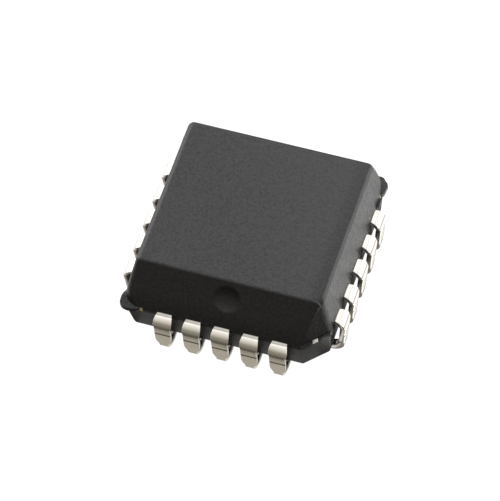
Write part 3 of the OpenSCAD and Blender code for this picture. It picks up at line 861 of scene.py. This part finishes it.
def floor_material():
    mat, nt, bsdf = new_material("studio_floor")
    vec = place(nt)
    cloud = noise_tex(nt, vec, 0.02, 2.0, 0.5)
    nt.links.new(ramp(nt, cloud, [(0.3, 0.10), (0.7, 0.11)]), bsdf.inputs["Base Color"])
    bsdf.inputs["Roughness"].default_value = 0.9
    bsdf.inputs["Specular IOR Level"].default_value = 0.1
    bsdf.inputs["Emission Color"].default_value = (1.0, 1.0, 1.0, 1.0)
    bsdf.inputs["Emission Strength"].default_value = 1.0
    # clear from below, so that the underside can be looked at
    geo = nt.nodes.new("ShaderNodeNewGeometry")
    clear = nt.nodes.new("ShaderNodeBsdfTransparent")
    mix = nt.nodes.new("ShaderNodeMixShader")
    nt.links.new(geo.outputs["Backfacing"], mix.inputs[0])
    nt.links.new(bsdf.outputs[0], mix.inputs[1])
    nt.links.new(clear.outputs[0], mix.inputs[2])
    out = next(n for n in nt.nodes if n.type == "OUTPUT_MATERIAL")
    nt.links.new(mix.outputs[0], out.inputs[0])
    return mat


# ---------------------------------------------------------------- assembly
body = build_body()
face_outward(body)
body.data.materials.append(mould_compound())
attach(body, "root")
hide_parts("body")

tin = tinned_lead()
for i in range(20):
    strip = build_lead(i)
    face_outward(strip)
    strip.data.materials.append(tin)
    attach(strip, "root")
    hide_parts("lead_%02d" % (i + 1))

copper = plain_metal("copper_paddle", (0.48, 0.36, 0.20), (0.72, 0.60, 0.38), 0.26, 0.40, 5.0)
epoxy = plain_metal("attach_epoxy", (0.50, 0.50, 0.51), (0.64, 0.64, 0.64), 0.35, 0.55, 8.0, 0.6)
silicon = plain_metal("silicon", (0.15, 0.16, 0.19), (0.24, 0.25, 0.29), 0.08, 0.16, 3.0, 0.8)
gold = plain_metal("gold_wire", (0.83, 0.60, 0.24), (0.95, 0.74, 0.36), 0.12, 0.22, 9.0)


def finish_node(name, mat):
    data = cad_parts[name].data
    data.materials.clear()
    data.materials.append(mat)


nt = copper.node_tree
bsdf = next(n for n in nt.nodes if n.type == "BSDF_PRINCIPLED")
old = bsdf.inputs["Base Color"].links[0].from_socket
at = nt.nodes.new("ShaderNodeSeparateXYZ")
nt.links.new(place(nt), at.inputs[0])
end = ramp(nt, math_node(nt, "SUBTRACT", math_node(nt, "SUBTRACT", at.outputs[0], at.outputs[1]), 7.0), [(0.3, 0.0), (0.6, 1.0)])
nt.links.new(mix_colour(nt, end, old, (0.86, 0.85, 0.80)), bsdf.inputs["Base Color"])
finish_node("die_paddle", copper)
finish_node("die_attach", epoxy)
finish_node("die", silicon)
for i in range(20):
    finish_node("bond_wire_%02d" % (i + 1), gold)

# ------------------------------------------------------------------- stage
mesh = bpy.data.meshes.new("studio_floor")
F = 0.9
mesh.from_pydata([(-F, -F, -0.00002), (F, -F, -0.00002), (F, F, -0.00002), (-F, F, -0.00002)], [], [(0, 1, 2, 3)])
mesh.update()
floor = bpy.data.objects.new("studio_floor", mesh)
bpy.context.scene.collection.objects.link(floor)
floor.data.materials.append(floor_material())
# the light panels under the floor stand for its brightness at the object
floor.visible_diffuse = False
floor.visible_glossy = False
floor.visible_shadow = False

# A soft light tent: brightest above and behind, falling off to the front
world = bpy.data.worlds.new("studio")
bpy.context.scene.world = world
world.use_nodes = True
wt = world.node_tree
way = wt.nodes.new("ShaderNodeTexCoord").outputs["Generated"]
dot = wt.nodes.new("ShaderNodeVectorMath")
dot.operation = "DOT_PRODUCT"
dot.inputs[1].default_value = (0.0, 0.5, 0.866)
wt.links.new(way, dot.inputs[0])
share = math_node(wt, "MULTIPLY_ADD", dot.outputs["Value"], 0.5)
share.node.inputs[2].default_value = 0.5
PEAK = 2.5
tent = [(-1.0, 0.29), (-0.5, 0.30), (-0.24, 0.37), (0.035, 0.65), (0.31, 0.84), (0.56, 1.0), (0.77, 1.25), (0.87, 1.45), (0.94, 1.8), (1.0, 2.3)]
WARM = (1.0, 0.95, 0.84)   # the dim side of the tent is a little warm


def warm(v, share):
    return tuple(v * (1 + (w - 1) * share) for w in WARM)


sky = ramp(wt, share, [(0.5 + 0.5 * c, warm(v / PEAK, min(1.0, max(0.0, (0.6 - c) / 0.6)))) for c, v in tent])
wsep = wt.nodes.new("ShaderNodeSeparateXYZ")
wt.links.new(way, wsep.inputs[0])
low = ramp(wt, math_node(wt, "ADD", wsep.outputs[2], 0.5), [(0.44, 1.0), (0.53, 0.0)])
light = mix_colour(wt, low, sky, warm(0.15 / PEAK, 1.0))
wt.links.new(light, wt.nodes["Background"].inputs[0])
wt.nodes["Background"].inputs[1].default_value = PEAK


def softbox(name, place_m, aim_m, size, radiance, colour=(1.0, 1.0, 1.0)):
    """A rectangular light whose face has the given radiance."""
    light = bpy.data.lights.new(name, "AREA")
    light.shape = "RECTANGLE"
    light.size, light.size_y = size
    light.energy = radiance * math.pi * size[0] * size[1]
    light.color = colour
    obj = bpy.data.objects.new(name, light)
    bpy.context.scene.collection.objects.link(obj)
    way = Vector(aim_m) - Vector(place_m)
    obj.matrix_world = Matrix.Translation(Vector(place_m)) @ way.to_track_quat("-Z", "Y").to_matrix().to_4x4()
    return obj


softbox("right_back", (0.46, 0.28, 0.125), (0.0, 0.0, 0.0), (0.30, 0.30), 5.0)
softbox("left_back", (-0.43, 0.26, 0.15), (0.0, 0.0, 0.0), (0.30, 0.30), 3.6)


def panel(name, x0, y0, x1, y1, radiance, colour=(1.0, 1.0, 1.0), z=-0.0001):
    """A light panel under the floor, facing up; corners in millimetres."""
    mid = Vector(((x0 + x1) / 2 * MM, (y0 + y1) / 2 * MM, z))
    return softbox(name, mid, mid + Vector((0.0, 0.0, 1.0)), ((x1 - x0) * MM, (y1 - y0) * MM), radiance, colour)


panel("floor_right", 5.3, -4.5, 90.0, 75.0, 2.05)
panel("floor_right_near", 4.9, -3.9, 5.3, 5.0, 1.15)
panel("floor_right_under", 3.0, -3.4, 4.9, 4.4, 0.07)
panel("floor_front", -5.6, -5.85, 5.2, -4.85, 0.32, (1.0, 0.945, 0.82))
panel("floor_far", -30.0, -70.0, 30.0, -10.5, 0.14, (1.0, 0.93, 0.75))
panel("floor_cut", 4.3, -4.6, 5.0, -3.9, 0.45)
panel("floor_right_front", 6.0, -30.0, 30.0, -5.0, 0.10)
panel("floor_under", -4.2, -4.80, 4.2, -3.0, 0.62)
panel("floor_left_back", -70.0, -6.0, -5.7, 60.0, 1.0)
panel("floor_left", -5.7, -6.0, -5.0, 6.0, 0.30)

# ------------------------------------------------------------------ camera
RIGHT = Vector((0.9489438475, 0.3092088381, -0.0624136900))
DOWN = Vector((0.2314914008, -0.8170279635, -0.5280880970))
AHEAD = Vector((-0.2142832369, 0.4866777181, -0.8468928463))
cam_data = bpy.data.cameras.new("camera")
cam = bpy.data.objects.new("camera", cam_data)
bpy.context.scene.collection.objects.link(cam)
rot = Matrix((RIGHT, -DOWN, -AHEAD)).transposed()
cam.matrix_world = Matrix.Translation(Vector((0.0361949321, -0.0828208286, 0.1458298236))) @ rot.to_4x4()
cam_data.sensor_fit = "HORIZONTAL"
cam_data.sensor_width = 36.0
cam_data.lens = 288.0
cam_data.clip_start = 0.005
cam_data.clip_end = 20.0
bpy.context.scene.camera = cam
bpy.context.scene.view_settings.view_transform = "Standard"
bpy.context.scene.view_settings.look = "None"
